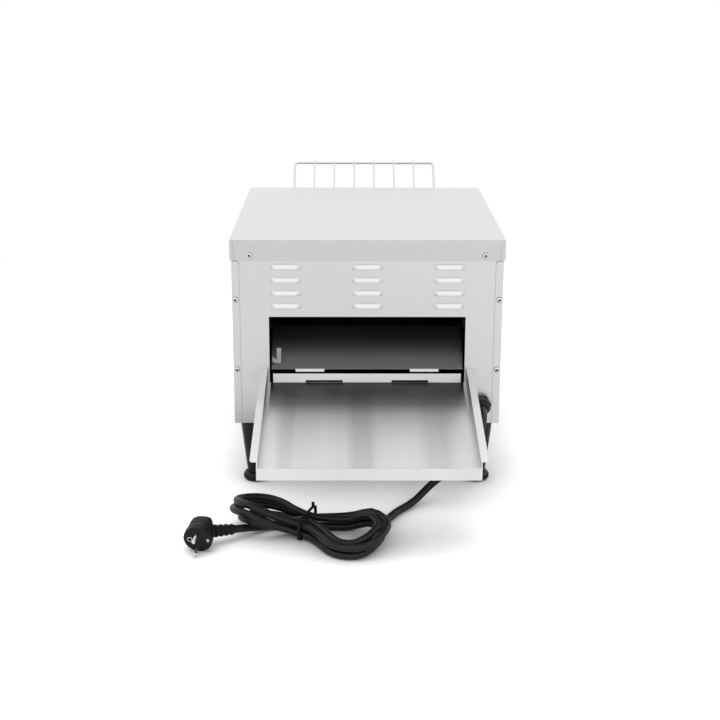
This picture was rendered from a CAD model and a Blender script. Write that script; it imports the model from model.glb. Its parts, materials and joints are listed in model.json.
"""Conveyor toaster: finishes, cord and stage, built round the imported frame."""

import json
from math import asin, atan2, copysign, cos, floor, pi, radians, sin, tau

import bmesh
import bpy
from bpy.props import FloatProperty, FloatVectorProperty, IntProperty, PointerProperty
from mathutils import Euler, Matrix, Vector


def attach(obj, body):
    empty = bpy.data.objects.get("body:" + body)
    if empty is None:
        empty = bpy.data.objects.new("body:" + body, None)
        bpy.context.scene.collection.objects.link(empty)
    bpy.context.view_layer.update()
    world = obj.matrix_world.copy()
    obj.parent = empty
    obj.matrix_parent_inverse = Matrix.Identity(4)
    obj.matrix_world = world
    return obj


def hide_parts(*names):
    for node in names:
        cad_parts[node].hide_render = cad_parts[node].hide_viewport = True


bl_info = {
    "name": "Conveyor toaster",
    "version": (1, 0, 0),
    "blender": (4, 5, 0),
    "location": "View3D > Sidebar > Toaster",
    "description": "Dresses the packed conveyor toaster with its finishes, cord and stage",
    "category": "Object",
}

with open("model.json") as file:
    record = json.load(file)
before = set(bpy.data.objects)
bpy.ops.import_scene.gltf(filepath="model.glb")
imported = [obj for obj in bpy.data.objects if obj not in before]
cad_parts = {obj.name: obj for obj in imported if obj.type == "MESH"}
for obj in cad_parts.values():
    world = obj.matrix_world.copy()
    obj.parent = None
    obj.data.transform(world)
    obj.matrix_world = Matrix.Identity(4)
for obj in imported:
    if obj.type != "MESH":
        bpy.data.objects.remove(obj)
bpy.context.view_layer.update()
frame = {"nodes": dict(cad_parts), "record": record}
MM = 0.001
Y_MID = 75.95  # the casing's middle lies this far behind the origin, in millimetres
PANEL_Y = 206.5  # the rear panel's outer face; the front panel's is at minus this
BODIES = {node: body for body, nodes in frame["record"]["behaviour"]["bodies"].items()
          for node in nodes}


def at(x, y, z):
    """A point given in millimetres from the casing's middle, in the frame's metres."""
    return Vector((x, y - Y_MID, z)) * MM


# ---- sizes and colours a user would change ----


class CordSizes(bpy.types.PropertyGroup):
    diameter: FloatProperty(
        name="Cord diameter", description="Outside diameter of the mains cord",
        default=0.010, unit="LENGTH")
    loops: FloatProperty(
        name="Loops", description="Number of loops in the hank", default=3.25)
    rings: IntProperty(
        name="Rings per loop", description="Points on each loop of the hank", default=48)


class FinishColours(bpy.types.PropertyGroup):
    casing: FloatVectorProperty(
        name="Casing steel", description="Colour of the satin casing sheets",
        default=(0.78, 0.78, 0.785), subtype="COLOR")
    tray: FloatVectorProperty(
        name="Tray steel", description="Colour of the bright tray sheet",
        default=(0.86, 0.86, 0.865), subtype="COLOR")
    plastic: FloatVectorProperty(
        name="Black plastic", description="Colour of legs, gland and knobs",
        default=(0.008, 0.008, 0.009), subtype="COLOR")
    rubber: FloatVectorProperty(
        name="Cord rubber", description="Colour of the cord and the plug",
        default=(0.006, 0.006, 0.0065), subtype="COLOR")


class StageLevels(bpy.types.PropertyGroup):
    fill: FloatProperty(
        name="Fill", description="Strength of the even light from all round", default=0.55)
    key: FloatProperty(
        name="Key", description="Power of the large light above, in watts", default=16.0)
    floor_grey: FloatProperty(
        name="Floor", description="Brightness of the floor's own colour", default=0.76)


# ---- node graphs ----


def arithmetic(operation):
    """A Value's method for one Math operation, and its reflected form."""
    return (lambda self, other: self.math(operation, self, other),
            lambda self, other: self.math(operation, other, self))


class Value:
    """A socket in a node graph; arithmetic on it adds Math nodes."""

    def __init__(self, graph, socket):
        self.graph, self.socket = graph, socket

    def math(self, operation, first, second=0.0):
        return self.graph.node("ShaderNodeMath", {0: first, 1: second}, operation=operation)

    __add__, __radd__ = arithmetic("ADD")
    __sub__, __rsub__ = arithmetic("SUBTRACT")
    __mul__, __rmul__ = arithmetic("MULTIPLY")
    __truediv__ = arithmetic("DIVIDE")[0]
    __pow__ = arithmetic("POWER")[0]
    below = arithmetic("LESS_THAN")[0]  # 1 where it is less than the limit, otherwise 0
    above = arithmetic("GREATER_THAN")[0]
    largest = arithmetic("MAXIMUM")[0]

    def taken(self, operation):
        """What a Math operation that needs one value makes of it."""
        return self.math(operation, self)

    def __abs__(self):
        return self.taken("ABSOLUTE")


class Graph:
    """A node tree that is filled one node at a time."""

    def __init__(self, tree, cleared=False):
        self.tree = tree
        if cleared:
            tree.nodes.clear()

    def node(self, kind, inputs=None, out=0, **settings):
        made = self.tree.nodes.new(kind)
        for name, value in settings.items():
            if name == "stops":
                self.set_stops(made.color_ramp, value)
            else:
                setattr(made, name, value)
        for key, value in (inputs or {}).items():
            if isinstance(value, Value):
                self.tree.links.new(value.socket, made.inputs[key])
            else:
                made.inputs[key].default_value = value
        return Value(self, made.outputs[out]) if len(made.outputs) else made

    def beside(self, value, name):
        """Another output of the node that a value comes from."""
        return Value(self, value.socket.node.outputs[name])

    def split(self, vector):
        """The X, Y and Z of a vector."""
        x = self.node("ShaderNodeSeparateXYZ", {0: vector})
        return x, self.beside(x, "Y"), self.beside(x, "Z")

    def joined(self, x, y, z):
        return self.node("ShaderNodeCombineXYZ", {0: x, 1: y, 2: z})

    def coordinates(self):
        """Object coordinates, in metres."""
        return self.node("ShaderNodeTexCoord", out=3)

    def rays(self):
        """1 for the camera's own rays, for mirrored ones and for those through glass."""
        seen = self.node("ShaderNodeLightPath")
        return seen, self.beside(seen, "Is Glossy Ray"), self.beside(seen, "Is Transmission Ray")

    @staticmethod
    def set_stops(ramp, stops):
        while len(ramp.elements) < len(stops):
            ramp.elements.new(1.0)
        for element, (place, grey) in zip(ramp.elements, stops):
            element.position = place
            element.color = (grey, grey, grey, 1.0)


class Finish(Graph):
    """A material with one principled surface; what varies is linked to it."""

    def __init__(self, name, colour, metallic=0.0, roughness=0.5, coat=0.0, gloss=0.5):
        self.material = bpy.data.materials.new(name)
        self.material.use_nodes = True
        super().__init__(self.material.node_tree)
        self.surface = self.tree.nodes["Principled BSDF"]
        self.set("Base Color", (*colour, 1.0))
        self.set("Metallic", metallic)
        self.set("Roughness", roughness)
        self.set("Coat Weight", coat)
        self.set("Specular IOR Level", gloss)
        self.material.diffuse_color = (*colour, 1.0)

    def set(self, name, value):
        if isinstance(value, Value):
            self.tree.links.new(value.socket, self.surface.inputs[name])
        else:
            self.surface.inputs[name].default_value = value

    def place(self, stretch=(1, 1, 1)):
        """Object coordinates, stretched."""
        return self.node("ShaderNodeMapping", {"Vector": self.coordinates(), "Scale": stretch})

    def noise(self, scale, stretch=(1, 1, 1), detail=2.0):
        return self.node("ShaderNodeTexNoise",
                         {"Vector": self.place(stretch), "Scale": scale, "Detail": detail})

    def ramp(self, factor, *stops):
        return self.node("ShaderNodeValToRGB", {"Fac": factor}, stops=stops)

    def mix(self, factor, first, second):
        """A colour between two, each given as a colour or as another mix."""
        first, second = (c if isinstance(c, Value) else (*c, 1.0) for c in (first, second))
        return self.node("ShaderNodeMix",
                         {0: factor, 6: first, 7: second}, out=2, data_type="RGBA")

    def bump(self, height, strength, distance):
        self.set("Normal", self.node("ShaderNodeBump", {
            "Height": height, "Strength": strength, "Distance": distance}))

    def worn(self, tints, roughness, cloud, grain, swing, bump, edges=None, soot=None,
             relief=None):
        """Two tints laid on by a cloud, roughness that swings with cloud and grain, and bump.

        swing and bump are pairs: by cloud and by grain, and strength and distance in metres.
        edges are where the cloud starts and ends to change the colour, and relief stands for
        the grain in the bump.
        """
        share = self.ramp(cloud, (edges[0], 0.0), (edges[1], 1.0)) if edges else cloud
        shown = self.mix(share, *tints)
        if soot:
            shown = self.mix(soot(self), shown, SOOT_BLACK)
        self.set("Base Color", shown)
        self.set("Roughness", roughness + swing[0] * (cloud - 0.5) + swing[1] * (grain - 0.5))
        self.bump(relief or grain, *bump)
        return self.material


def shade(colour, *factors):
    """The colour times a factor, or a list of them for several factors."""
    shades = [tuple(min(1.0, c * factor) for c in colour) for factor in factors]
    return shades if len(shades) > 1 else shades[0]


def machine_place(f):
    """X, Y and Z in millimetres from the casing's middle."""
    x, y, z = f.split(f.coordinates())
    return x * 1000.0, y * 1000.0 + Y_MID, z * 1000.0


INNER_HALF_X, INNER_HALF_Y, INNER_TOP = 182.4, 205.7, 351.4  # just outside the inner faces
INNER_SOOT = (0.16, 0.15, 0.14)
SOOT_BLACK, HEAT_BLACK, GAP_BLACK = (0.006,) * 3, (0.012,) * 3, (0.05,) * 3
LOUVER_COLUMNS, LOUVER_ROWS = 3, 4
LOUVER_STEP_X, LOUVER_STEP_Z = 110.6, 18.0
LOUVER_TOP_Z = 312.4  # the top row's slots
LOUVER_W, LOUVER_H, LOUVER_DEPTH = 41.0, 7.2, 4.0
CHUTE_END_Z = 171.9
TRAY_FLOOR_X, TRAY_TOP_Z, TRAY_END_Y = 132.0, 153.0, 448.0
TRAY_SLOPE = 0.189
HEAT_REACH, FOLD_REACH, SOOT_REACH = 120.0, 20.0, 60.0  # what each ramp's 0 to 1 spans
FLANGE_CORNER = (176.7, 319.5)  # middle of the side flange's round top corner
FLANGE_CORNER_R = 3.5
GAP_W = 0.75
LIP_Z, LIP_Y, LIP_TOP_Z = 325.0, 208.5, 350.5
SEAM_X, SEAM_LEAN, SEAM_HALF_W = 178.7, 0.092, 0.4
COVER_TOP_Z = 352.3


def inside_casing(f):
    """1 on what faces the machine's inside, 0 on its outer faces."""
    x, y, z = machine_place(f)
    return abs(x).below(INNER_HALF_X) * abs(y).below(INNER_HALF_Y) * z.below(INNER_TOP)


def panel_gaps(f):
    """Thin shadow gaps round the side panels' folded edges and under the cover's lip."""
    x, _, z = machine_place(f)
    inward = (FLANGE_CORNER[0] - abs(x)).largest(0.0)
    upward = (z - FLANGE_CORNER[1]).largest(0.0)
    off = (inward ** 2.0 + upward ** 2.0) ** 0.5 - FLANGE_CORNER_R
    depth = 0.32 + 0.4 * z.above(FLANGE_CORNER[1])
    return (depth * off.above(0.0) * off.below(GAP_W)).largest(0.34 * z.above(LIP_Z - 0.9))


def lip_seams(f):
    """The slanted seam near each end of the cover's lips."""
    x, y, z = machine_place(f)
    off = abs(x) - SEAM_X - SEAM_LEAN * (z - LIP_Z - 1.0)
    return 0.3 * abs(off).below(SEAM_HALF_W) * abs(y).above(LIP_Y) * z.below(LIP_TOP_Z)


def lip_only(f):
    """1 on the cover's lips, which are rolled across the grain, and 0 on its top."""
    return machine_place(f)[2].below(COVER_TOP_Z)


def chute_soot(f):
    """How sooty the slide is: least at its foot, most under the belt's end."""
    height = (machine_place(f)[2] - CHUTE_END_Z) / SOOT_REACH
    return f.ramp(height, (0.0, 0.0), (0.2, 0.1), (0.38, 0.48), (0.6, 0.62), (1.0, 0.3))


def sheet_steel(name, colour, roughness, gaps=None, duller=None):
    """Rolled stainless sheet: fine grain, faint smudges, dulled by heat on the inside."""
    f = Finish(name, colour, metallic=1.0)
    lines = f.noise(90.0, (0.6, 34.0, 34.0), detail=4.0)
    cloud = f.noise(9.0, (1.0, 1.0, 1.4))
    sweep = f.noise(7.0, (1.0, 0.05, 0.05), detail=1.0)
    inner = inside_casing(f)
    f.set("Roughness", roughness + 0.05 * (lines - 0.5) + 0.05 * (cloud - 0.5) + 0.2 * inner)
    clean = f.mix(0.6 * sweep + 0.4 * cloud, *shade(colour, 0.96, 1.03))
    if duller:
        clean = f.mix(0.55 * duller(f), clean, shade(colour, 0.78))
    if gaps:
        clean = f.mix(gaps(f), clean, GAP_BLACK)
    f.set("Base Color", f.mix(inner, clean, INNER_SOOT))
    f.bump(lines, 0.03, 0.0002)
    return f.material


def louver_sheet(name, colour, roughness):
    """Panel steel, polished by the punch on each hood's crown."""
    f = Finish(name, colour, metallic=1.0)
    x, _, z = machine_place(f)
    off = abs(x - LOUVER_STEP_X * (x / LOUVER_STEP_X).taken("ROUND")) / (LOUVER_W / 2)
    fall = ((LOUVER_TOP_Z + LOUVER_H - z) / LOUVER_STEP_Z).taken("FRACT") * LOUVER_STEP_Z
    across = f.ramp(off, (0.66, 1.0), (0.86, 0.0))
    down = f.ramp(fall / 10.0, (0.07, 0.0), (0.17, 1.0), (0.52, 1.0), (0.66, 0.3))
    speck = f.noise(420.0)
    f.set("Base Color", f.mix(across * down, *shade(colour, 0.97, 1.16)))
    f.set("Roughness", roughness + 0.05 * (speck - 0.5))
    f.bump(speck, 0.02, 0.0002)
    return f.material


def bright_sheet(name, colour):
    """Bright tray sheet, its grain along Y, browned by heat next to the machine."""
    f = Finish(name, colour, metallic=0.72)
    grain = f.noise(240.0, (1.0, 0.02, 0.02))
    bands = f.noise(14.0, (1.0, 0.02, 0.02))
    f.set("Roughness", 0.34 + 0.07 * (grain - 0.5) + 0.06 * (bands - 0.5))
    clean = f.mix(f.ramp(bands, (0.3, 0.0), (0.7, 1.0)), *shade(colour, 0.92, 1.04))
    x, y, z = machine_place(f)
    up = f.split(f.node("ShaderNodeNewGeometry", out=1))[2]
    on_floor = up.above(0.5) * abs(x).below(TRAY_FLOOR_X)
    on_wall = 1.0 - on_floor
    on_flange = up.above(0.5) * on_wall
    climb = (z - TRAY_TOP_Z + TRAY_SLOPE * (y - PANEL_Y)) / FOLD_REACH
    folds = f.ramp(climb, (0.0, 0.45), (0.10, 0.45), (0.17, 1.0), (0.36, 1.0), (0.46, 0.5),
                   (0.82, 0.42), (0.9, 1.0))
    on_side = on_wall * abs(x).above(TRAY_FLOOR_X) * abs(up).below(0.5) * y.below(TRAY_END_Y)
    heat = f.ramp((y - PANEL_Y) / HEAT_REACH, (0.0, 0.026), (0.14, 0.042), (0.32, 0.175),
                  (0.51, 0.37), (0.69, 0.77), (0.8, 0.93), (1.0, 1.0))
    streaks = f.ramp(x / 300.0 + 0.5, (0.117, 1.0), (0.183, 0.85), (0.24, 0.85), (0.293, 1.0),
                     (0.463, 1.0), (0.495, 0.84), (0.56, 0.84), (0.595, 1.0), (0.807, 1.0),
                     (0.833, 0.88), (0.867, 0.88), (0.9, 1.0))
    kept = heat.largest(0.5 * on_wall + 0.35 * on_flange) * streaks.largest(on_wall)
    kept = kept * (1.0 - on_side * (1.0 - folds))
    f.set("Base Color", f.mix(kept, HEAT_BLACK, clean))
    f.bump(grain, 0.02, 0.0002)
    return f.material


def dull_sheet(name, colour, roughness, metallic, soot=None):
    """Bare sheet that heat and crumbs have dulled: scratches along Y and cloudy patches."""
    f = Finish(name, colour, metallic=metallic)
    return f.worn(shade(colour, 0.9, 1.08), roughness, f.noise(18.0, detail=4.0),
                  f.noise(300.0, (1.0, 0.03, 0.03), detail=3.0), swing=(0.1, 0.08),
                  bump=(0.03, 0.0002), soot=soot)


def stained_steel(name, colour, stain, roughness):
    """Steel that heat has coloured in patches."""
    f = Finish(name, colour, metallic=1.0)
    return f.worn((colour, stain), roughness, f.noise(22.0, (0.5, 1.0, 1.0), detail=4.0),
                  f.noise(260.0), swing=(0.2, 0.1), bump=(0.06, 0.0002), edges=(0.38, 0.66))


def turned_metal(name, colour, roughness):
    """Drawn or turned metal with faint lines round it."""
    f = Finish(name, colour, metallic=1.0)
    return f.worn(shade(colour, 0.95, 1.03), roughness, f.noise(30.0),
                  f.noise(700.0, (1.0, 0.2, 0.2)), swing=(0.05, 0.08), bump=(0.04, 0.0001))


def moulded(name, colour, roughness, texture=900.0, depth=0.12, worn=1.6):
    """Moulded plastic or rubber: spark-eroded skin and slightly paler, duller patches."""
    f = Finish(name, colour, gloss=0.22)
    return f.worn((colour, shade(colour, worn)), roughness, f.noise(28.0, detail=3.0),
                  f.noise(texture), swing=(0.14, 0.1), bump=(depth, 0.0003), edges=(0.35, 0.8))


def cord_rubber(name, colour):
    """Cord sheath: satin, faintly uneven, with dust in the finest grain."""
    f = Finish(name, colour, gloss=0.36)
    wave, grain = f.noise(60.0), f.noise(1400.0)
    return f.worn((colour, shade(colour, 1.9)), 0.38, wave, grain, swing=(0.16, 0.08),
                  bump=(0.08, 0.0006), edges=(0.4, 0.8), relief=wave + 0.2 * grain)


def glazed(name, colour):
    """Glazed ceramic, clouded and finely specked."""
    f = Finish(name, colour, roughness=0.45)
    return f.worn(shade(colour, 0.92, 1.04), 0.45, f.noise(40.0), f.noise(420.0),
                  swing=(0.2, 0.0), bump=(0.05, 0.0002))


def lens(name, colour):
    """Tinted lamp lens: rings of facets inside, lit by what stands round it."""
    f = Finish(name, colour, roughness=0.12, coat=0.6)
    ribs = f.node("ShaderNodeTexWave",
                  {"Vector": f.place(), "Scale": 400.0, "Distortion": 0.0}, bands_direction="X")
    cloud = f.noise(200.0, detail=3.0)
    f.set("Base Color", f.mix(ribs * 0.5 + 0.3 * cloud, *shade(colour, 0.6, 1.2)))
    f.set("Roughness", 0.12 + 0.1 * cloud)
    f.bump(ribs, 0.15, 0.0004)
    return f.material


FINISHES = {}


def make_finishes():
    """Every finish, by the name the piece lists use."""
    colours = bpy.context.scene.toaster_finishes
    casing, tray, plastic, rubber = (
        tuple(c) for c in (colours.casing, colours.tray, colours.plastic, colours.rubber))
    FINISHES.update({
        "casing": sheet_steel("satin_casing_steel", casing, 0.33),
        "drawer": sheet_steel("satin_drawer_steel", shade(casing, 0.8), 0.3),
        "panel": sheet_steel("satin_panel_steel", casing, 0.33, gaps=panel_gaps),
        "cover": sheet_steel("satin_cover_steel", shade(casing, 1.03), 0.36,
                             gaps=lip_seams, duller=lip_only),
        "louver": louver_sheet("satin_louver_steel", casing, 0.32),
        "strip": dull_sheet("satin_strip_steel", (0.96, 0.96, 0.965), 0.5, 0.0),
        "clip": dull_sheet("dull_clip_steel", (0.4, 0.4, 0.4), 0.4, 0.6),
        "chute": dull_sheet("sooted_chute_steel", (0.135, 0.135, 0.135), 0.42, 1.0, chute_soot),
        "bright": bright_sheet("bright_tray_steel", tray),
        "plain": dull_sheet("mill_finish_steel", (0.3, 0.3, 0.3), 0.45, 1.0),
        "wire": turned_metal("chromed_wire", (0.78, 0.78, 0.8), 0.16),
        "belt": stained_steel("belt_wire_steel", (0.5, 0.48, 0.45), (0.26, 0.2, 0.15), 0.36),
        "shaft": turned_metal("ground_shaft_steel", (0.66, 0.66, 0.68), 0.24),
        "cast": stained_steel("oiled_sprocket_iron", (0.2, 0.2, 0.21), (0.1, 0.09, 0.08), 0.42),
        "chain": stained_steel("oiled_chain_steel", (0.3, 0.29, 0.27), (0.14, 0.12, 0.1), 0.36),
        "brass": turned_metal("turned_bush_brass", (0.72, 0.55, 0.25), 0.26),
        "paint": moulded("motor_paint", (0.05, 0.055, 0.06), 0.42, 500.0, 0.06),
        "heater": stained_steel("heater_sheath", (0.24, 0.22, 0.2), (0.13, 0.1, 0.09), 0.5),
        "ceramic": glazed("white_ceramic", (0.82, 0.8, 0.74)),
        "knob": moulded("knob_plastic", plastic, 0.3, 1100.0, 0.06),
        "switch": moulded("switch_plastic", (0.05, 0.05, 0.055), 0.5),
        "green": lens("green_lens", (0.05, 0.45, 0.12)),
        "amber": lens("amber_lens", (0.85, 0.3, 0.03)),
        "fan": moulded("fan_plastic", (0.02, 0.02, 0.022), 0.45),
        "leg": moulded("leg_plastic", plastic, 0.36, 800.0, 0.1),
        "foot": moulded("foot_rubber", shade(rubber, 2.2), 0.4, 700.0, 0.2),
        "recess": moulded("screw_recess_shadow", (0.004, 0.004, 0.004), 0.7, 600.0, 0.03),
        "screw": turned_metal("zinc_screw_steel", (0.9, 0.9, 0.9), 0.3),
        "gland": moulded("gland_plastic", plastic, 0.38, 900.0, 0.08),
        "cord": cord_rubber("cord_rubber", rubber),
        "tie": moulded("tie_plastic", plastic, 0.3, 1100.0, 0.05),
        "plug": moulded("plug_rubber", rubber, 0.44, 1000.0, 0.14, 1.9),
        "pin": turned_metal("nickel_pin", (0.8, 0.78, 0.74), 0.18),
        "print": moulded("panel_print", (0.03, 0.03, 0.035), 0.5, 600.0, 0.03),
        "white_print": moulded("knob_line_paint", (0.8, 0.8, 0.78), 0.5, 600.0, 0.03, 1.05),
    })


# ---- meshes ----


def new_object(name, mesh):
    made = bpy.data.objects.new(name, mesh)
    bpy.context.scene.collection.objects.link(made)
    return made


def to_mesh(name, bm):
    """The bmesh as a mesh of that name; the bmesh is freed."""
    mesh = bpy.data.meshes.new(name)
    bm.to_mesh(mesh)
    bm.free()
    return mesh


def shaded(mesh, angle, finish=None):
    """Smooth up to an angle in degrees, and in one finish where it is given."""
    if finish:
        mesh.materials.clear()
        mesh.materials.append(FINISHES[finish])
    mesh.shade_smooth()
    mesh.set_sharp_from_angle(angle=radians(angle))
    return mesh


def from_bmesh(name, bm, finish, angle=40):
    """Closes a bmesh into an object with its finish, smooth up to the angle."""
    bmesh.ops.remove_doubles(bm, verts=bm.verts, dist=PIECE_WELD)
    bmesh.ops.recalc_face_normals(bm, faces=bm.faces)
    return new_object(name, shaded(to_mesh(name, bm), angle, finish))


def modify(piece, kind, **settings):
    """Adds a modifier with its settings."""
    modifier = piece.modifiers.new(kind.lower(), kind)
    for key, value in settings.items():
        setattr(modifier, key, value)
    return modifier


def bake(piece):
    """Turns what the modifiers make into the piece's own mesh and removes them."""
    graph = bpy.context.evaluated_depsgraph_get()
    mesh = bpy.data.meshes.new_from_object(
        piece.evaluated_get(graph), preserve_all_data_layers=True, depsgraph=graph)
    mesh.name = piece.name
    piece.modifiers.clear()
    piece.data = mesh


def settle(piece, *nodes, extra=False):
    """Rides on the nodes' body in their slot and stands for them, unless it is extra."""
    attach(piece, BODIES[nodes[0]])
    if not extra:
        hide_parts(*nodes)
    return piece


FLAT_FACE = 30.0  # square millimetres, above which a sheet's face is plane
FLAT_BEND = 0.4  # degrees, under which two faces are one
NODE_WELD, PIECE_WELD = 2e-6, 1e-6  # metres, under which two points are one
SHEET_ANGLE, EASE_ANGLE = 25, 30


def merged_copy(node):
    """The node's mesh with its loose triangles joined."""
    bm = bmesh.new()
    bm.from_mesh(frame["nodes"][node].data)
    bmesh.ops.remove_doubles(bm, verts=bm.verts, dist=NODE_WELD)
    return bm


def sheet_piece(node, finish, bm=None):
    """Sheet metal as it is: flat faces stay flat, bends and hoods are smooth."""
    name = node + "_piece"
    mesh = shaded(to_mesh(name, bm or merged_copy(node)), SHEET_ANGLE, finish)
    for face in mesh.polygons:
        if face.area > FLAT_FACE * MM * MM:
            face.use_smooth = False
    return settle(new_object(name, mesh), node)


def dressed(node, finish, edge):
    """The node's own shape with eased edges, edge in millimetres, and smooth curves."""
    bm = merged_copy(node)
    if edge > 0:
        bmesh.ops.dissolve_limit(
            bm, angle_limit=radians(FLAT_BEND), verts=bm.verts, edges=bm.edges)
    name = node + "_piece"
    piece = new_object(name, shaded(to_mesh(name, bm), EASE_ANGLE, finish))
    if edge > 0:
        modify(piece, "BEVEL", width=edge * MM, segments=2, limit_method="ANGLE",
               angle_limit=radians(EASE_ANGLE), use_clamp_overlap=False,
               harden_normals=True)
        bake(piece)
    return settle(piece, node)


def bridge(bm, low, high):
    """Faces between two rings of as many points."""
    for k in range(len(low)):
        n = (k + 1) % len(low)
        bm.faces.new((low[k], low[n], high[n], high[k]))


def skin(bm, rings, hoop=False):
    """Joins the rings in order; a hoop's last meets its first, otherwise both are capped."""
    for low, high in zip(rings, rings[1:]):
        bridge(bm, low, high)
    if hoop:
        bridge(bm, rings[-1], rings[0])
    else:
        bm.faces.new(rings[0][::-1])
        bm.faces.new(rings[-1])


def round_steps(steps):
    """Cosine and sine of each step round a circle."""
    turns = (tau * k / steps for k in range(steps))
    return [(cos(a), sin(a)) for a in turns]


def lathe(bm, profile, foot, turn=Matrix.Identity(3), steps=64, hoop=False):
    """Spins (radius, height) points round the Z axis that a turn and a foot give."""
    skin(bm, [[bm.verts.new(foot + turn @ (Vector((radius * c, radius * s, height)) * MM))
               for c, s in round_steps(steps)] for radius, height in profile], hoop)


def loft(bm, sections, place, steps=48):
    """Skins rounded-box sections (y, middle x, middle z, half x, half z, power)."""
    rings = []
    for y, mid_x, mid_z, half_x, half_z, power in sections:
        ring = []
        for c, s in round_steps(steps):
            x = mid_x + half_x * copysign(abs(c) ** (2 / power), c)
            z = mid_z + half_z * copysign(abs(s) ** (2 / power), s)
            ring.append(bm.verts.new(place @ (Vector((x, y, z)) * MM)))
        rings.append(ring)
    skin(bm, rings)


def smooth(a, b, x):
    """0 up to a and 1 from b on, with a soft step between."""
    t = max(0.0, min(1.0, (x - a) / (b - a)))
    return t * t * (3 - 2 * t)


def line_mesh(name, points):
    """A mesh of one line of edges, in metres."""
    mesh = bpy.data.meshes.new(name)
    mesh.from_pydata([tuple(p) for p in points], [(k, k + 1) for k in range(len(points) - 1)], [])
    return mesh


def points_mesh(name, points):
    """A mesh of loose points, given in millimetres from the casing's middle."""
    mesh = bpy.data.meshes.new(name)
    mesh.from_pydata([tuple(at(*p)) for p in points], [], [])
    return mesh


# ---- geometry nodes ----


def drop_empty_slots(mesh):
    """Removes the material slots that hold nothing."""
    kept = [m for m in mesh.materials if m]
    places = [kept.index(mesh.materials[f.material_index]) for f in mesh.polygons]
    mesh.materials.clear()
    for material in kept:
        mesh.materials.append(material)
    mesh.polygons.foreach_set("material_index", places)


class Builder(Graph):
    """A geometry tree with named inputs that ends in Realize Instances and Set Material."""

    def __init__(self, name, **inputs):
        super().__init__(bpy.data.node_groups.new(name, "GeometryNodeTree"))
        sockets = self.tree.interface
        for way in ("INPUT", "OUTPUT"):
            sockets.new_socket("Geometry", in_out=way, socket_type="NodeSocketGeometry")
        kinds = {float: "NodeSocketFloat", int: "NodeSocketInt"}
        self.sizes = {}
        for key, value in inputs.items():
            socket = sockets.new_socket(key.replace("_", " ").capitalize(), in_out="INPUT",
                                        socket_type=kinds[type(value)])
            self.sizes[socket.identifier] = value
        self.geometry = self.node("NodeGroupInput")
        self.inputs = {key: self.beside(self.geometry, k) for k, key in enumerate(inputs, 1)}

    def place_of(self):
        """X, Y and Z of the points."""
        return self.split(self.node("GeometryNodeInputPosition"))

    def shape_of(self, piece):
        return self.node("GeometryNodeObjectInfo", {"Object": piece}, out=4)

    def instances(self, points, instance, **more):
        return self.node("GeometryNodeInstanceOnPoints",
                         {"Points": points, "Instance": instance, **more})

    def stations(self, count):
        """Even points on the closed line, and the turn that lays Y along it and Z outward."""
        line = self.node("GeometryNodeMeshToCurve", {"Mesh": self.geometry})
        closed = self.node("GeometryNodeSetSplineCyclic", {"Geometry": line, "Cyclic": True})
        points = self.node("GeometryNodeCurveToPoints",
                           {"Curve": closed, "Count": count}, mode="COUNT")
        _, y, z = self.split(self.beside(points, "Tangent"))
        return points, self.joined(z.math("ARCTAN2", z, y), 0.0, 0.0)

    def close(self, geometry, finish, sunk=None, sunk_finish=None):
        """Ends the tree; faces where sunk is 1 take the second finish."""
        shown = self.node("GeometryNodeRealizeInstances", {"Geometry": geometry})
        for where, material in ((None, finish), (sunk, sunk_finish)):
            if material:
                chosen = {"Selection": where} if where else {}
                shown = self.node("GeometryNodeSetMaterial", {
                    "Geometry": shown, "Material": FINISHES[material], **chosen})
        self.node("NodeGroupOutput", {0: shown})

    def apply(self, name, mesh, angle):
        """Runs the tree on a mesh and returns the result as a plain piece."""
        piece = new_object(name, mesh)
        modifier = modify(piece, "NODES", node_group=self.tree)
        for identifier, value in self.sizes.items():
            modifier[identifier] = value
        bake(piece)
        drop_empty_slots(piece.data)
        shaded(piece.data, angle)
        return piece


# ---- the stage ----

CAMERA_AT = at(24.03, 2005.19, 724.40)
CAMERA_LENS, CAMERA_SENSOR = 68.47, 36.0  # millimetres
CAMERA_PITCH = 16.698  # degrees down
CAMERA_YAW = 0.454
CAMERA_ROLL = 0.156
FLOOR_GLOW = 0.6  # what the camera sees on top of the floor's own colour
FLOOR_NEAR, FLOOR_FAR = 0.7, 1.6  # metres out, between which the floor turns plain white
FLOOR_MIRRORED = 3.0  # metres out, past which reflections show it plain white too
FLOOR_CONTACT = 0.13  # metres, how far the object's contact shadow reaches
FLOOR_HALF = 30.0  # metres
LIGHTS = (  # name, place, size, and power as a share of the key light's
    ("key_light", (0.3, 0.5, 2.2), (2.2, 2.2), 2.0),
    ("rear_light", (-0.9, 2.6, 1.1), (1.6, 1.2), 1.0))
LIGHT_AIM = Vector((0, 0, 0.2))
WHITE = (1.0, 1.0, 1.0, 1.0)
SKY = ((0.0, 0.7), (0.5, 0.9), (0.62, 1.0), (1.0, 1.0))  # brightness by height, in reflections


def camera_matrix():
    """The photograph's viewpoint: it looks along -Y from behind the machine."""
    pitch, yaw, roll = (radians(a) for a in (CAMERA_PITCH, CAMERA_YAW, CAMERA_ROLL))
    ahead = Vector((-sin(yaw) * cos(pitch), -cos(yaw) * cos(pitch),
                    -sin(pitch)))
    right = Vector((-cos(yaw), sin(yaw), 0.0))
    above = right.cross(ahead)
    leaned_right = right * cos(roll) + above * sin(roll)
    leaned_up = above * cos(roll) - right * sin(roll)
    turn = Matrix((leaned_right, leaned_up, -ahead)).transposed()
    return Matrix.Translation(CAMERA_AT) @ turn.to_4x4()


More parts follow.
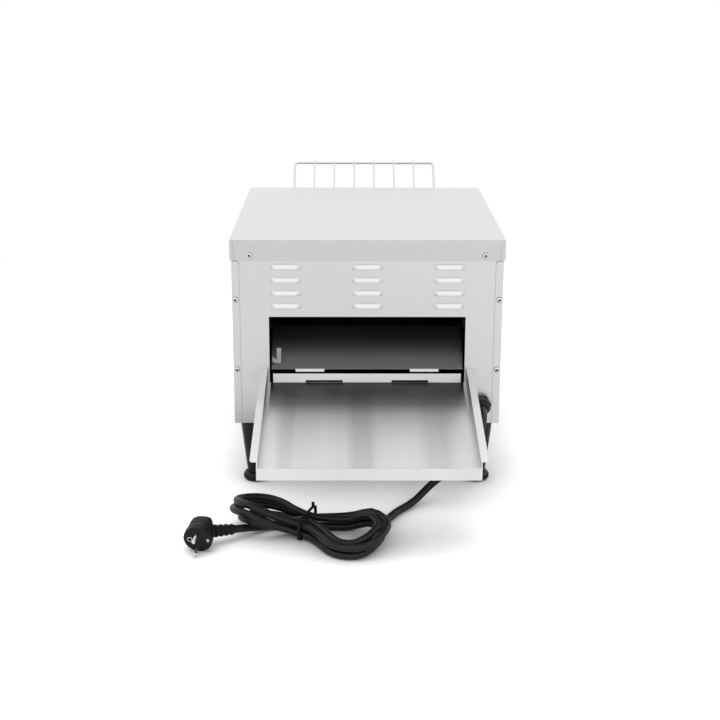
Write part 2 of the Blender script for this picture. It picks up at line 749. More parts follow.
def add_light(name, place, size, watts):
    """A large soft lamp aimed at the machine and unseen in reflections."""
    light = bpy.data.lights.new(name, "AREA")
    light.shape = "RECTANGLE"
    light.size, light.size_y = size
    light.energy = watts
    lamp = new_object(name, light)
    lamp.visible_glossy = False
    lamp.location = place
    lamp.rotation_euler = (LIGHT_AIM - Vector(place)).to_track_quat("-Z", "Y").to_euler()


def make_world(level):
    """White to the camera and in reflections, softer as a light on matt surfaces."""
    world = bpy.data.worlds.new("studio")
    bpy.context.scene.world = world
    world.use_nodes = True
    g = Graph(world.node_tree, cleared=True)
    seen, glossy, clear = g.rays()
    height = g.split(g.node("ShaderNodeTexCoord"))[2]
    sky = g.node("ShaderNodeValToRGB", {"Fac": height * 0.5 + 0.5}, stops=SKY)
    shown = seen + clear
    strength = shown + glossy * sky + level * (1.0 - (glossy + shown))
    background = g.node("ShaderNodeBackground", {"Color": WHITE, "Strength": strength})
    g.node("ShaderNodeOutputWorld", {"Surface": background})


def make_floor(grey):
    """A wide plain floor that shows white and keeps the object's soft shadow."""
    material = bpy.data.materials.new("pale_floor")
    material.use_nodes = True
    g = Graph(material.node_tree, cleared=True)
    seen, glossy, clear = g.rays()
    matt = g.node("ShaderNodeBsdfDiffuse", {"Color": (grey, grey, grey, 1.0)})
    open_sky = g.node("ShaderNodeAmbientOcclusion", {"Distance": FLOOR_CONTACT}, out=1, samples=12)
    glow = g.node("ShaderNodeEmission",
                  {"Color": WHITE, "Strength": FLOOR_GLOW * seen * open_sky ** 2.0})
    near = g.node("ShaderNodeAddShader", {0: matt, 1: glow})
    white = g.node("ShaderNodeEmission", {"Color": WHITE, "Strength": 1.0})
    away = g.node("ShaderNodeVectorMath", {0: g.coordinates()}, out=1, operation="LENGTH")
    far = g.node("ShaderNodeMapRange",
                 {"Value": away, "From Min": FLOOR_NEAR, "From Max": FLOOR_FAR},
                 interpolation_type="SMOOTHSTEP")
    mirrored = away.above(FLOOR_MIRRORED) * (glossy + clear)
    shown = g.node("ShaderNodeMixShader", {0: far * seen + mirrored, 1: near, 2: white})
    g.node("ShaderNodeOutputMaterial", {"Surface": shown})
    half = FLOOR_HALF
    mesh = bpy.data.meshes.new("floor")
    mesh.from_pydata([(-half, -half, 0), (half, -half, 0), (half, half, 0), (-half, half, 0)],
                     [], [(0, 1, 2, 3)])
    mesh.materials.append(material)
    ground = new_object("floor", mesh)
    ground.location.z = -0.5 * MM


class TOASTER_OT_stage(bpy.types.Operator):
    """Camera at the photograph's viewpoint, soft studio light and a pale floor"""

    bl_idname = "toaster.stage"
    bl_label = "Stage"

    def execute(self, context):
        levels = context.scene.toaster_stage
        camera = bpy.data.cameras.new("camera")
        camera.lens = CAMERA_LENS
        camera.sensor_width = CAMERA_SENSOR
        camera.clip_end = 100.0
        viewer = new_object("camera", camera)
        viewer.matrix_world = camera_matrix()
        context.scene.camera = viewer
        make_world(levels.fill)
        make_floor(levels.floor_grey)
        for name, place, size, share in LIGHTS:
            add_light(name, place, size, levels.key * share)
        context.scene.view_settings.view_transform = "Standard"
        return {"FINISHED"}


# ---- the mains cord ----

GLAND_X = 158.0
GLAND_Z = 121.6
GLAND_NOSE_Y = 228.5
HANK_MID = (80.0, 370.0)
HANK_TURN = 161.0
HANK_LEFT, HANK_RIGHT = 99.0, 119.0
FOLD_LEFT, FOLD_RIGHT = 42.0, 50.0
WAIST_HALF = 27.0
WAIST_STEP = 1.22
LEFT_SHARE = 0.85
PITCH_SHARE = 1.2  # of the cord's diameter, and so are the next two
RISE_SHARE = 1.18
FAN_SHARE = 1.14
FAN_TILT = 0.25
BEND_RIGHT, BEND_LEFT = 16.0, 5.0
CLIMB_BEFORE, CLIMB_AFTER = 0.06, 0.12  # of a loop
TIE_SPAN, FAN_SPAN = (-30, -8), (-10, 76)  # millimetres in which each grows from none to full
LEFT_SPAN, RIGHT_SPAN, LEAD_SPAN = (0, 70), (-30, 110), (10, 50)
FAN_FROM, FAN_TO, LEAD_FROM = 0.97, 1.03, 0.4  # loops along the hank
LEAD_SPACING = 4.0  # between points on the lead and the tail
TIE_T = 1.2
TIE_GAP = 0.4
CLIMB_SHARE = 0.53
CROSSING = ((92.0, 66.0), (99.0, -10.0))
FOLD_LEFT_X = HANK_LEFT - FOLD_LEFT
FOLD_RIGHT_X = HANK_RIGHT - FOLD_RIGHT
LEAD_ROUTE = [
    (-157.7, 248.9, 120.2), (-156.5, 258.5, 116.2), (-154.2, 266.8, 109.9), (-151, 273.1, 101.6),
    (-147, 277, 92), (-142, 278.3, 81.8), (-136, 277.4, 72), (-128.8, 275, 63),
    (-120.6, 271.8, 54.6), (-111.8, 268, 46), (-102.4, 264.6, 37.4), (-93, 262.4, 29),
    (-84.2, 263, 21), (-76, 267.2, 14), (-68, 274.5, 8.8), (-59.5, 284.5, 6), (-50, 296.5, 5),
    (-38.5, 313, 5)]
LEAD_UNDER_HANK = [(90, 64, 5), (93, 38, 5), (98, 12, 5)]
TAIL_ROUTE = [(-22, 2, 13), (-37, 1, 7.5), (-50.5, -6, 5.5), (-61, -18, 7), (-67.5, -29.5, 10)]
TAIL_EXIT = Vector((170.5, 389.3, 14.0))
TAIL_RUN = Vector((0.86, 0.5, 0.13)).normalized()
TAIL_TURN = TAIL_RUN.to_track_quat("Z", "Y").to_matrix()


def run_place(k, inset, side):
    """The flat point at the share k of a run between the folds; side -1 is the near run."""
    length = FOLD_RIGHT_X + FOLD_LEFT_X
    x = FOLD_RIGHT_X - length * k if side < 0 else length * k - FOLD_LEFT_X
    end_r, end_x = (FOLD_RIGHT, FOLD_RIGHT_X) if x > 0 else (FOLD_LEFT, FOLD_LEFT_X)
    wide = 1 + (WAIST_STEP - 1) * smooth(0, 0.3, k) * smooth(0, 0.3, 1 - k)
    at_left = smooth(0, FOLD_LEFT_X, -x) ** 2
    half = WAIST_HALF + (end_r - WAIST_HALF) * (1 - cos(pi * abs(x) / end_x)) / 2
    return x, side * (half - inset * (wide * (1 - at_left) + LEFT_SHARE * at_left))


def fold_place(mid_x, radius, turn):
    """The flat point on a fold's arc round mid_x."""
    return mid_x + radius * cos(turn), radius * sin(turn)


def loop_place(t, inset):
    """A flat point at the share t of one loop, that far inside the outermost one."""
    quarter = pi / 2
    if t < 0.125:
        return fold_place(FOLD_RIGHT_X, FOLD_RIGHT - inset, -quarter * t / 0.125)
    if t < 0.375:
        return run_place((t - 0.125) / 0.25, inset, -1)
    if t < 0.625:
        return fold_place(-FOLD_LEFT_X, FOLD_LEFT - inset * LEFT_SHARE,
                          -quarter - pi * (t - 0.375) / 0.25)
    if t < 0.875:
        return run_place((t - 0.625) / 0.25, inset, 1)
    return fold_place(FOLD_RIGHT_X, FOLD_RIGHT - inset, quarter - quarter * (t - 0.875) / 0.125)


def turned(x, y, degrees):
    """A flat point turned round the origin."""
    a = radians(degrees)
    return x * cos(a) - y * sin(a), x * sin(a) + y * cos(a)


def off_crossing(x, y):
    """Distance from the stretch of the lead that the loops pass over."""
    a, b = Vector(CROSSING[0]), Vector(CROSSING[1])
    p, v = Vector((x, y)), b - a
    k = max(0.0, min(1.0, (p - a).dot(v) / v.dot(v)))
    return (p - a - k * v).length


def hank_point(s, loops, d):
    """Point of the hank after s loops, in its own frame, for a cord of diameter d."""
    climb_turn = loops * CLIMB_SHARE
    x, y = loop_place(s - floor(s), PITCH_SHARE * d * abs(s - climb_turn))
    climb = smooth(climb_turn - CLIMB_BEFORE, climb_turn + CLIMB_AFTER, s)
    over_tie = (TIE_T + TIE_GAP) * smooth(*TIE_SPAN, -abs(x))
    fan_step = FAN_SHARE * d * smooth(FAN_FROM, FAN_TO, s)
    fan = smooth(*FAN_SPAN, -x) * (fan_step + FAN_TILT * (FOLD_LEFT - y))
    px, py = turned(x, y, BEND_LEFT * smooth(*LEFT_SPAN, -x) - BEND_RIGHT * smooth(*RIGHT_SPAN, x))
    over_lead = 0.0 if s < LEAD_FROM else 1 - smooth(*LEAD_SPAN, off_crossing(px, py))
    return Vector((px, py, d / 2 + over_tie + fan + RISE_SHARE * d * (climb + over_lead)))


def hank_to_body(p):
    """A point of the hank's own frame, in millimetres from the casing's middle."""
    x, y = turned(p[0], p[1], HANK_TURN)
    return Vector((HANK_MID[0] + x, HANK_MID[1] + y, p[2]))


def flowing(points):
    """A smooth line through the points, with new points evenly between them."""
    points = [Vector(p) for p in points]
    ends = [2 * points[0] - points[1], *points, 2 * points[-1] - points[-2]]
    line = []
    for a, b, c, d in zip(ends, ends[1:], ends[2:], ends[3:]):
        count = max(1, round((c - b).length / LEAD_SPACING))
        for k in range(count):
            t = k / count
            line.append(0.5 * ((2 * b) + (c - a) * t + (2 * a - 5 * b + 4 * c - d) * t ** 2
                               + (3 * b - a - 3 * c + d) * t ** 3))
    return [*line, points[-1]]


def cord_line(sizes):
    """The cord's middle line from the gland to the plug, in millimetres."""
    d = sizes.diameter / MM
    steps = round(sizes.loops * sizes.rings)
    hank = [hank_to_body(hank_point(k * sizes.loops / steps, sizes.loops, d))
            for k in range(steps + 1)]
    into = (hank[1] - hank[0]).normalized()
    out = (hank[-1] - hank[-2]).normalized()
    lead_exit = Vector((-GLAND_X, GLAND_NOSE_Y, GLAND_Z))
    lead = [lead_exit, lead_exit + Vector((0, d, 0)), *LEAD_ROUTE,
            *(hank_to_body(p) for p in LEAD_UNDER_HANK), hank[0] - d * into, hank[0]]
    tail = [hank[-1], hank[-1] + d * out, *(hank_to_body(p) for p in TAIL_ROUTE),
            TAIL_EXIT - d * TAIL_RUN, TAIL_EXIT]
    line = flowing(lead)[:-1] + hank[:-1] + flowing(tail)
    return [Vector((p.x, p.y, max(p.z, d / 2))) for p in line]


def line_length(points):
    return sum((b - a).length for a, b in zip(points, points[1:]))


class TOASTER_OT_cord(bpy.types.Operator):
    """The mains cord from its gland through the tied hank to the plug"""

    bl_idname = "toaster.cord"
    bl_label = "Mains cord"

    def execute(self, context):
        sizes = context.scene.toaster_cord
        line = [at(*p) for p in cord_line(sizes)]
        curve = bpy.data.curves.new("mains_cord", "CURVE")
        curve.dimensions = "3D"
        curve.bevel_depth = sizes.diameter / 2
        curve.bevel_resolution = 6
        curve.use_fill_caps = True
        spline = curve.splines.new("POLY")
        spline.points.add(len(line) - 1)
        for point, place in zip(spline.points, line):
            point.co = (*place, 1.0)
        spline.use_smooth = True
        curve.materials.append(FINISHES["cord"])
        cord = settle(new_object("mains_cord", curve),
                      "mains_cord_lead", "mains_cord_hank", "mains_cord_tail")
        with_pieces = [dressed("cord_tie", "tie", 0.25), make_strain_relief(), make_plug_body(),
                       *make_plug_metal()]
        line_length(line)
        return {"FINISHED"}


# ---- the plug ----

PLUG_FACE_R = 18.5
PLUG_TILT = 15.0
PLUG_SWING = 9.5
PLUG_FACE = Vector((213.7, 431.9, PLUG_FACE_R * cos(radians(PLUG_TILT)) + 0.05))
PIN_STEP = 19.0
PIN_R = 2.4
PIN_LEN = 18.5
EARTH_X = 10.0
RELIEF_RIBS, RELIEF_STEP = 4, 7.4


def plug_matrix():
    """The plug's own axes: +Y out of its face, +Z toward the upper pin."""
    turn = Euler((-radians(PLUG_TILT), 0.0, -radians(PLUG_SWING))).to_matrix()
    return Matrix.Translation(at(*PLUG_FACE)) @ turn.to_4x4()


def plug_lathe(bm, profile, x, z, hoop=False):
    """Spins a profile round an axis out of the plug's face, at x and z on it."""
    place = plug_matrix()
    outward = place.to_3x3() @ Matrix.Rotation(-pi / 2, 3, "X")
    lathe(bm, profile, place @ (Vector((x, 0.0, z)) * MM), outward, 32, hoop)


def make_strain_relief():
    """A tapered sleeve with four ribs that thicken toward the plug."""
    profile = [(5.02, 0.0), (5.5, 0.0), (5.6, 1.5)]
    for k in range(RELIEF_RIBS):
        low, neck, crown = 3.0 + RELIEF_STEP * k, 5.7 + 0.25 * k, 7.1 + 0.4 * k
        profile += [(neck, low), (crown - 0.5, low + 0.3), (crown, low + 0.9),
                    (crown, low + 3.6), (crown - 0.5, low + 4.3), (neck + 0.1, low + 4.6)]
    profile += [(6.8, 31.5), (6.9, 38.0), (5.02, 38.0)]
    bm = bmesh.new()
    lathe(bm, profile, at(*TAIL_EXIT), TAIL_TURN, 48, hoop=True)
    return settle(from_bmesh("plug_strain_relief_piece", bm, "plug", 50), "plug_strain_relief")


def make_plug_body():
    """The moulded plug: a round face plate, a shouldered grip and a side neck."""
    bm = bmesh.new()
    loft(bm, [(-0.15, 0, 0, 17.9, 17.9, 2.0), (-0.9, 0, 0, 18.4, 18.4, 2.0),
              (-9.5, 0, 0, 18.4, 18.4, 2.0), (-10.4, 0, 0, 17.6, 17.6, 2.0),
              (-13.0, 0.2, 0.2, 16.6, 16.4, 2.3), (-20.0, 0.4, 0.6, 15.2, 15.2, 3.0),
              (-27.0, 0.2, 0.8, 13.6, 14.2, 3.6), (-31.5, -0.8, 0.8, 11.6, 12.6, 3.4),
              (-33.6, -1.4, 0.8, 8.4, 9.4, 2.8)], plug_matrix())
    lathe(bm, [(7.0, 0.0), (8.3, 0.8), (8.8, 3.0), (9.4, 7.0), (10.5, 14.0)],
          at(*(TAIL_EXIT + 30.5 * TAIL_RUN)), TAIL_TURN, 40)
    piece = from_bmesh("plug_body_piece", bm, "plug", 60)
    modify(piece, "REMESH", mode="VOXEL", voxel_size=0.6 * MM, use_smooth_shade=True)
    modify(piece, "SMOOTH", factor=0.5, iterations=4)
    bake(piece)
    hole = bmesh.new()
    plug_lathe(hole, [(2.6, -9.0), (2.6, 2.0)], EARTH_X, 0.0)
    cutter = new_object("plug_cut", to_mesh("plug_cut", hole))
    modify(piece, "BOOLEAN", operation="DIFFERENCE", solver="EXACT", object=cutter)
    bake(piece)
    bpy.data.objects.remove(cutter)
    piece.data.polygons.foreach_set("material_index", [0] * len(piece.data.polygons))
    shaded(piece.data, 50, "plug")
    return settle(piece, "plug_body")


def make_plug_metal():
    """Two pins with rounded ends, the earth socket's collar and the side contact."""
    pins = bmesh.new()
    arc = [radians(a) for a in range(0, 85, 12)]
    tip = [(PIN_R * cos(a), PIN_LEN - PIN_R + PIN_R * sin(a)) for a in arc]
    for side in (-1, 1):
        plug_lathe(pins, [(PIN_R, -2.0), *tip, (0.25, PIN_LEN)], 0.0, side * PIN_STEP / 2)
    collar = bmesh.new()
    plug_lathe(collar, [(2.5, -8.6), (2.5, 0.15), (3.3, 0.15), (3.5, -0.1), (3.5, -1.2),
                        (2.6, -1.2), (2.6, -8.6)], EARTH_X, 0.0, hoop=True)
    loft(collar, [(-0.6, 0, 0, 1.9, 2.6, 3.0), (0.2, 0, 0, 1.7, 2.4, 3.0),
                  (0.5, 0, 0, 1.0, 1.6, 3.0)],
         plug_matrix() @ Matrix.Translation(Vector((-13.2, 0.0, 0.0)) * MM), 24)
    return [settle(from_bmesh("plug_pins_piece", pins, "pin"), "plug_pins"),
            settle(from_bmesh("plug_earth_contacts", collar, "pin"), "plug_pins", extra=True)]


# ---- casing, trays and the rest of the machine ----

SHEETS = {
    "top_cover": "cover", "left_side_panel": "casing", "right_side_panel": "casing",
    "front_panel": "panel", "chute_clip": "clip",
    "crumb_tray": "drawer", "crumb_tray_pull": "casing", "base_plate": "plain",
    "left_inner_wall": "plain", "right_inner_wall": "plain", "tunnel_floor": "plain",
    "upper_reflector": "plain", "lower_reflector": "plain",
}
DRESSED = {  # by finish and by how far its edges are eased
    ("cast", 0.2): "driven_chain_sprocket motor_sprocket drive_sprockets idler_sprockets",
    ("heater", 0.3): "upper_heating_elements lower_heating_elements",
    ("wire", 0.0): "feed_rack_frame feed_rack_wires",
    ("knob", 0.5): "speed_knob mode_knob",
    ("shaft", 0.2): "speed_spindle mode_spindle",
    ("green", 0.0): "power_lamp",
    ("amber", 0.0): "heating_lamp",
    ("leg", 0.8): "left_rear_leg right_rear_leg left_front_leg right_front_leg",
    ("gland", 0.5): "cable_gland",
    ("shaft", 0.4): "drive_shaft idler_shaft motor_shaft",
    ("brass", 0.2): "shaft_bushes",
    ("paint", 0.8): "gear_motor",
    ("ceramic", 0.3): "element_insulators",
    ("switch", 0.4): "speed_control mode_switch",
    ("fan", 0.3): "cooling_fan_frame",
    ("fan", 0.2): "cooling_fan_rotor",
    ("ceramic", 0.4): "terminal_block",
    ("switch", 0.2): "safety_thermostat",
    ("screw", 0.3): "leg_nuts",
    ("gland", 0.4): "gland_nut",
}
SIDES = (-1, 1)
CORNERS = [(sx, sy) for sx in SIDES for sy in SIDES]


def louver_tree():
    """One soft hood on each point: it rises from a crease to an open slot below."""
    b = Builder("louver_hoods", width=LOUVER_W * MM, height=LOUVER_H * MM,
                depth=LOUVER_DEPTH * MM)
    width, height, depth = b.inputs.values()
    grid = b.node("GeometryNodeMeshGrid",
                  {"Size X": width, "Size Y": height, "Vertices X": 49, "Vertices Y": 15})
    x, y, _ = b.place_of()
    rise = ((0.5 - y / height) * (pi / 2)).taken("SINE")
    ends = b.node("ShaderNodeMapRange",
                  {"Value": abs(x) * 2.0 / width, "From Min": 1.0, "From Max": 0.68},
                  interpolation_type="SMOOTHSTEP")
    crown = depth * rise ** 1.15 * ends
    hood = b.node("GeometryNodeSetPosition",
                  {"Geometry": grid, "Position": b.joined(x, crown, y + height * 0.5)})
    b.close(b.instances(b.geometry, hood), "louver")
    return b


def make_rear_panel():
    """The panel's flat sheet with its slots, and the hoods over them."""
    bm = merged_copy("rear_panel")
    proud = [v for v in bm.verts if v.co.y > (PANEL_Y + 0.02 - Y_MID) * MM]
    bmesh.ops.delete(bm, geom=proud, context="VERTS")
    sheet_piece("rear_panel", "panel", bm)
    places = [((i - (LOUVER_COLUMNS - 1) / 2) * LOUVER_STEP_X, PANEL_Y + 0.02,
               LOUVER_TOP_Z - j * LOUVER_STEP_Z - 0.35)
              for i in range(LOUVER_COLUMNS) for j in range(LOUVER_ROWS)]
    hoods = louver_tree().apply("rear_panel_louvers", points_mesh("louver_places", places), 60)
    modify(hoods, "SOLIDIFY", thickness=0.8 * MM, offset=1.0)
    bake(hoods)
    settle(hoods, "rear_panel", extra=True)


def make_two_tone(node, finish, chosen):
    """A sheet whose faces take the pale strip's finish where their middle is chosen."""
    sheet = sheet_piece(node, finish).data
    sheet.materials.append(FINISHES["strip"])
    for face in sheet.polygons:
        x, y, z = (c / MM for c in face.center)
        if chosen(x, y + Y_MID, z):
            face.material_index = 1


def on_inner_strip(x, y, z):
    """The rear tray's strip inside the opening."""
    return y < PANEL_Y + 1.5 and z > TRAY_TOP_Z + 0.5 and abs(x) < TRAY_FLOOR_X - 2.0


def on_end_tab(x, y, z):
    """The two tabs at the slide's foot."""
    return z < CHUTE_END_Z and y > PANEL_Y - 2.5


SCREW_R, SCREW_CROWN = 4.0, 2.4
SCREWS = ((158.6, 209.0, 331.5), (178.8, 207.5, 171.5), (178.8, 207.5, 270.0))


def screw_mesh():
    """A pan head with a four-lobed recess and a shank, along Z from the sheet's face."""
    bm = bmesh.new()
    r, top = SCREW_R, SCREW_CROWN
    lathe(bm, [(1.9, -4.9), (1.9, 0.0), (r, 0.0), (r, 0.38 * top), (0.93 * r, 0.55 * top),
               (0.75 * r, 0.78 * top), (0.6 * r, 0.9 * top), (0.5 * r, 0.97 * top),
               (0.45 * r, 0.45 * top)], Vector(), steps=32)
    for v in bm.verts:
        if v.co.xy.length < 0.52 * r * MM and v.co.z > 0.4 * top * MM:
            v.co.xy *= 0.62 + 0.46 * cos(2 * atan2(v.co.y, v.co.x)) ** 2
    bmesh.ops.recalc_face_normals(bm, faces=bm.faces)
    sunk = bm.faces.layers.float.new("sunk")
    for face in bm.faces:
        middle = face.calc_center_median() / MM
        out = middle.xy.length
        face[sunk] = float(out < 0.5 * r and 0.4 * top < middle.z < 0.93 * top or out > 0.95 * r)
    return to_mesh("casing_screw", bm)


def make_screws():
    """A screw on each place, turned at random and facing away from the casing."""
    places = []
    for sx, sy in CORNERS:
        places += [(sx * x, sy * y, z) for x, y, z in SCREWS]
    screw = new_object("casing_screw", screw_mesh())
    b = Builder("casing_screws", turn_seed=3)
    front = (b.place_of()[1] + Y_MID * MM).below(0.0)
    twist = b.node("FunctionNodeRandomValue",
                   {"Min": 0.0, "Max": pi, "Seed": b.inputs["turn_seed"]}, out=1,
                   data_type="FLOAT")
    placed = b.instances(b.geometry, b.shape_of(screw),
                         Rotation=b.joined(pi * front - pi / 2, twist, 0.0))
    sunk = b.node("GeometryNodeInputNamedAttribute", {"Name": "sunk"}, data_type="FLOAT")
    b.close(placed, "screw", sunk.above(0.5), "recess")
    screws = b.apply("casing_screws_piece", points_mesh("screw_places", places), 30)
    bpy.data.objects.remove(screw)
    settle(screws, "casing_screws")


LEG_X, LEG_Y = 156.0, 175.0
FOOT_R, FOOT_H, FOOT_EDGE = 19.0, 11.0, 3.4
FOOT_RIBS, RIB_R, RIB_H = 36, 0.75, 4.6


def foot_tree():
    """A ring of short upright ribs round each foot."""
    b = Builder("foot_ribs", ring=(FOOT_R - RIB_R) * MM, height=RIB_H * MM, ribs=FOOT_RIBS)
    ring, height, ribs = b.inputs.values()
    circle = b.node("GeometryNodeMeshCircle", {"Vertices": ribs, "Radius": ring})
    rib = b.node("GeometryNodeMeshCylinder",
                 {"Vertices": 8, "Radius": RIB_R * MM, "Depth": height})
    b.close(b.instances(b.geometry, b.instances(circle, rib)), "foot")
    return b


def make_feet():
    """Soft round feet with a ribbed edge."""
    places = [(sx * LEG_X, sy * LEG_Y) for sx, sy in CORNERS]
    middles = points_mesh("foot_places", [(x, y, FOOT_H / 2) for x, y in places])
    settle(foot_tree().apply("foot_disc_ribs", middles, 40), "foot_discs", extra=True)
    bm = bmesh.new()
    flat = FOOT_R - 0.7 - FOOT_EDGE
    arc = [radians(a) for a in range(0, 91, 15)]
    low = [(flat + FOOT_EDGE * sin(a), FOOT_EDGE - FOOT_EDGE * cos(a)) for a in arc]
    high = [(r, FOOT_H - z) for r, z in reversed(low)]
    for x, y in places:
        lathe(bm, [*low, *high, (14.6, FOOT_H), (14.0, FOOT_H - 0.4), (13.2, FOOT_H - 0.4)],
              at(x, y, 0.0), steps=48)
    settle(from_bmesh("foot_discs_piece", bm, "foot"), "foot_discs")


BELT_Z, DRIVE_Y, IDLER_Y = 252.0, 124.0, -162.0
BELT_R = 22.5
BELT_HALF_W = 127.0
BELT_LANES = 9
STRANDS, STRAND_R = 55, 0.95


def belt_path():
    """The belt's middle line round its two shafts, in the frame's metres."""
    arc = [radians(a) for a in range(0, 181, 12)]
    rear = [(DRIVE_Y + BELT_R * sin(a), BELT_Z + BELT_R * cos(a)) for a in arc]
    front = [(IDLER_Y - BELT_R * sin(a), BELT_Z - BELT_R * cos(a)) for a in arc]
    return [at(0.0, y, z) for y, z in [*rear, *front]]


def strand_points(step):
    """One bent wire across the belt: straight lanes joined by short hooks."""
    points = []
    lane = 2 * BELT_HALF_W / (2 * BELT_LANES - 1)
    for k in range(2 * BELT_LANES - 1):
        x = -BELT_HALF_W + k * lane
        y = 0.0 if k % 2 else step * 0.86
        lift = 0.55 if k % 2 else -0.55
        points += [(x + 1.0, y, lift), (x + lane - 1.0, y, lift)]
    return [Vector(p) * MM for p in points]


def make_belt():
    """The wire belt: bent strands hooked one behind the other."""
    b = Builder("belt_strands", strands=STRANDS, wire=STRAND_R * MM)
    strands, wire = b.inputs.values()
    points, turn = b.stations(strands)
    length = 2 * (DRIVE_Y - IDLER_Y) + tau * BELT_R
    strand = new_object("belt_strand", line_mesh("belt_strand", strand_points(length / STRANDS)))
    line = b.node("GeometryNodeMeshToCurve", {"Mesh": b.shape_of(strand)})
    section = b.node("GeometryNodeCurvePrimitiveCircle",
                     {"Resolution": 6, "Radius": wire}, mode="RADIUS")
    bent = b.node("GeometryNodeCurveToMesh",
                  {"Curve": line, "Profile Curve": section, "Fill Caps": True})
    b.close(b.instances(points, bent, Rotation=turn), "belt")
    belt = b.apply("conveyor_belt_piece", line_mesh("belt_path", belt_path()), 50)
    bpy.data.objects.remove(strand)
    settle(belt, "conveyor_belt")


CHAIN_X = 149.5
MOTOR_AT, MOTOR_R = (20.0, 150.0), 12.9
DRIVEN_AT, DRIVEN_R = (124.0, 252.0), 25.8
LINKS = 50
PLATE_END_R, PLATE_WAIST, PLATE_T = 2.9, 2.1, 0.7
PIN_HALF, ROLLER_HALF = 2.45, 1.1


def chain_path():
    """The chain's pitch line round its two sprockets, in the frame's metres."""
    a, b = Vector(MOTOR_AT), Vector(DRIVEN_AT)
    ahead = atan2(*(b - a).yx)
    lean = pi / 2 + asin((DRIVEN_R - MOTOR_R) / (b - a).length)
    points = []
    for middle, radius, first, last in ((b, DRIVEN_R, ahead + lean, ahead - lean),
                                        (a, MOTOR_R, ahead - lean, ahead + lean - tau)):
        for k in range(17):
            t = first + (last - first) * k / 16
            points.append(at(CHAIN_X, middle.x + radius * cos(t),
                             middle.y + radius * sin(t)))
    return points


def link_mesh(name, pitch, plate_x):
    """Two waisted side plates with a pin, and a roller between them."""
    bm = bmesh.new()
    half = pitch / 2
    outline = []
    for side in (1, -1):
        arc = [radians(90 * side - 22.5 * k) for k in range(9)]
        outline += [(side * half + PLATE_END_R * cos(a), PLATE_END_R * sin(a))
                    for a in arc]
        outline.append((0.0, -side * PLATE_WAIST))
    for side in SIDES:
        low, high = ([bm.verts.new(Vector((side * plate_x + t, y, z)) * MM) for y, z in outline]
                     for t in (-PLATE_T / 2, PLATE_T / 2))
        bm.faces.new(low)
        bm.faces.new(high[::-1])
        bridge(bm, high, low)
    across = Matrix.Rotation(pi / 2, 3, "Y")
    for radius, reach, steps in ((1.1, PIN_HALF, 10), (2.2, ROLLER_HALF, 12)):
        lathe(bm, [(radius, -reach), (radius, reach)], Vector((0.0, -half, 0.0)) * MM, across,
              steps)
    bmesh.ops.recalc_face_normals(bm, faces=bm.faces)
    return to_mesh(name, bm)


def make_chain():
    """The roller chain: inner and outer links laid by turns along its path."""
    path = chain_path()
    pitch = line_length([*path, path[0]]) / MM / LINKS
    b = Builder("chain_links", links=LINKS)
    points, turn = b.stations(b.inputs["links"])
    index = b.node("GeometryNodeInputIndex")
    odd = index.math("MODULO", index, 2.0)
    links, both = [], b.node("GeometryNodeJoinGeometry")
    for name, plate_x, chosen in (("inner_link", 1.35, odd), ("outer_link", 2.1, 1.0 - odd)):
        link = new_object(name, link_mesh(name, pitch, plate_x))
        laid = b.instances(points, b.shape_of(link), Selection=chosen, Rotation=turn)
        b.tree.links.new(laid.socket, both.socket.node.inputs[0])
        links.append(link)
    b.close(both, "chain")
    chain = b.apply("drive_chain_piece", line_mesh("chain_path", path), 35)
    for link in links:
        bpy.data.objects.remove(link)
    settle(chain, "drive_chain")


CONTROL_Z, KNOB_X = 150.0, 62.0
KNOB_FRONT_Y = -233.5
DIAL_SWEEP, DIAL_R = 270.0, 23.6
STROKE_LEN, STROKE_T = 3.2, 0.12


def dial_tree(count, width):
    """Printed strokes round a knob, from straight up clockwise to the knob's other stop."""
    b = Builder("dial_strokes", strokes=count, radius=DIAL_R * MM, stroke_width=width * MM,
                stroke_length=STROKE_LEN * MM)
    strokes, radius, stroke_width, stroke_length = b.inputs.values()
    line = b.node("GeometryNodeMeshLine", {"Count": strokes})
    turn = b.node("GeometryNodeInputIndex") * (radians(DIAL_SWEEP) / (count - 1))
    reach = radius + stroke_length * 0.5
    place = b.joined(reach * turn.taken("SINE"), 0.0, reach * turn.taken("COSINE"))
    ring = b.node("GeometryNodeSetPosition", {"Geometry": line, "Position": place})
    stroke = b.node("GeometryNodeMeshCube",
                    {"Size": b.joined(stroke_width, STROKE_T * MM, stroke_length)})
    dial = b.instances(ring, stroke, Rotation=b.joined(0.0, turn, 0.0))
    b.close(b.instances(b.geometry, dial), "print")
    return b


def make_dials():
    """Strokes on the front panel round both knobs, and the knobs' white pointer lines."""
    for name, x, count, width in (("speed_dial", KNOB_X, 10, 0.9), ("mode_dial", -KNOB_X, 4, 1.6)):
        places = points_mesh(name, [(x, -PANEL_Y - 0.02, CONTROL_Z)])
        strokes = dial_tree(count, width).apply(name + "_print", places, 35)
        settle(strokes, "mode_switch", extra=True)
    for node, x in (("speed_knob", KNOB_X), ("mode_knob", -KNOB_X)):
        bm = bmesh.new()
        loft(bm, [(0.3, 0, 0, 0.7, 4.8, 4.0), (-0.12, 0, 0, 0.7, 4.8, 4.0),
                  (-0.16, 0, 0, 0.55, 4.6, 4.0)],
             Matrix.Translation(at(x, KNOB_FRONT_Y, CONTROL_Z + 9.0)), 24)
        settle(from_bmesh(node + "_pointer", bm, "white_print"), node, extra=True)


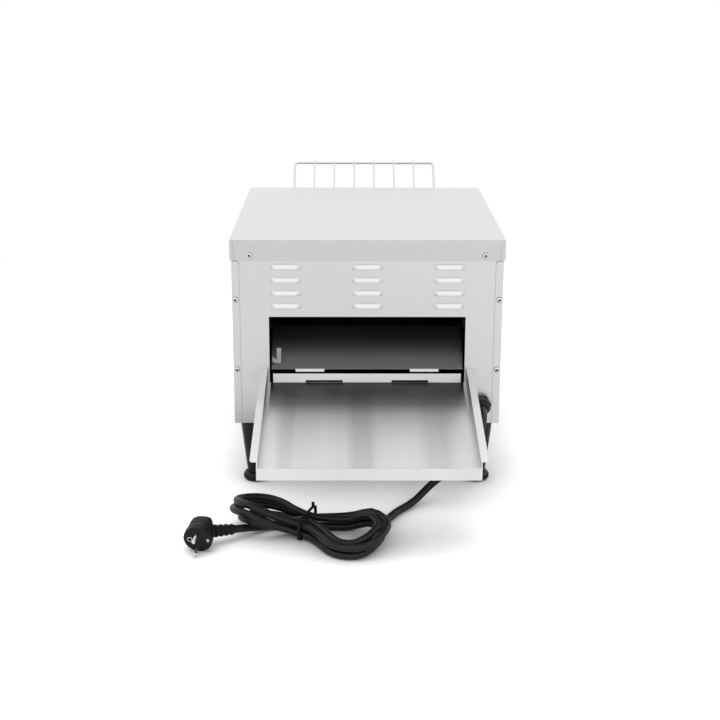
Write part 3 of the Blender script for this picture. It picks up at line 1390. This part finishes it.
class TOASTER_OT_casing(bpy.types.Operator):
    """Cover, side, front and rear panels, inner walls, reflectors, trays and chute"""

    bl_idname = "toaster.casing"
    bl_label = "Casing"

    def execute(self, context):
        for node, finish in SHEETS.items():
            sheet_piece(node, finish)
        make_rear_panel()
        make_two_tone("rear_tray", "bright", on_inner_strip)
        make_two_tone("toast_chute", "chute", on_end_tab)
        return {"FINISHED"}


class TOASTER_OT_fittings(bpy.types.Operator):
    """Rack, knobs, lamps, legs, drive and heaters, screws, feet, belt, chain and dials"""

    bl_idname = "toaster.fittings"
    bl_label = "Fittings"

    def execute(self, context):
        for (finish, edge), nodes in DRESSED.items():
            for node in nodes.split():
                dressed(node, finish, edge)
        make_screws()
        make_feet()
        make_belt()
        make_chain()
        make_dials()
        return {"FINISHED"}


# ---- add-on ----

GROUPS = {"toaster_cord": CordSizes, "toaster_finishes": FinishColours,
          "toaster_stage": StageLevels}
STEPS = (TOASTER_OT_stage, TOASTER_OT_cord, TOASTER_OT_casing, TOASTER_OT_fittings)


class TOASTER_PT_panel(bpy.types.Panel):
    """Sizes, colours and building steps of the conveyor toaster"""

    bl_idname = "TOASTER_PT_panel"
    bl_label = "Conveyor toaster"
    bl_space_type = "VIEW_3D"
    bl_region_type = "UI"
    bl_category = "Toaster"

    def draw(self, context):
        for group, settings in GROUPS.items():
            for name in settings.__annotations__:
                self.layout.prop(getattr(context.scene, group), name)
        for step in STEPS:
            self.layout.operator(step.bl_idname)


def register():
    for group in GROUPS.values():
        bpy.utils.register_class(group)
    for name, group in GROUPS.items():
        setattr(bpy.types.Scene, name, PointerProperty(type=group))
    for step in (*STEPS, TOASTER_PT_panel):
        bpy.utils.register_class(step)


def unregister():
    for step in (TOASTER_PT_panel, *reversed(STEPS)):
        bpy.utils.unregister_class(step)
    for name, group in GROUPS.items():
        delattr(bpy.types.Scene, name)
        bpy.utils.unregister_class(group)


def main():
    register()
    make_finishes()
    bpy.ops.toaster.stage()
    bpy.ops.toaster.cord()
    bpy.ops.toaster.casing()
    bpy.ops.toaster.fittings()


if __name__ == "__main__":
    main()
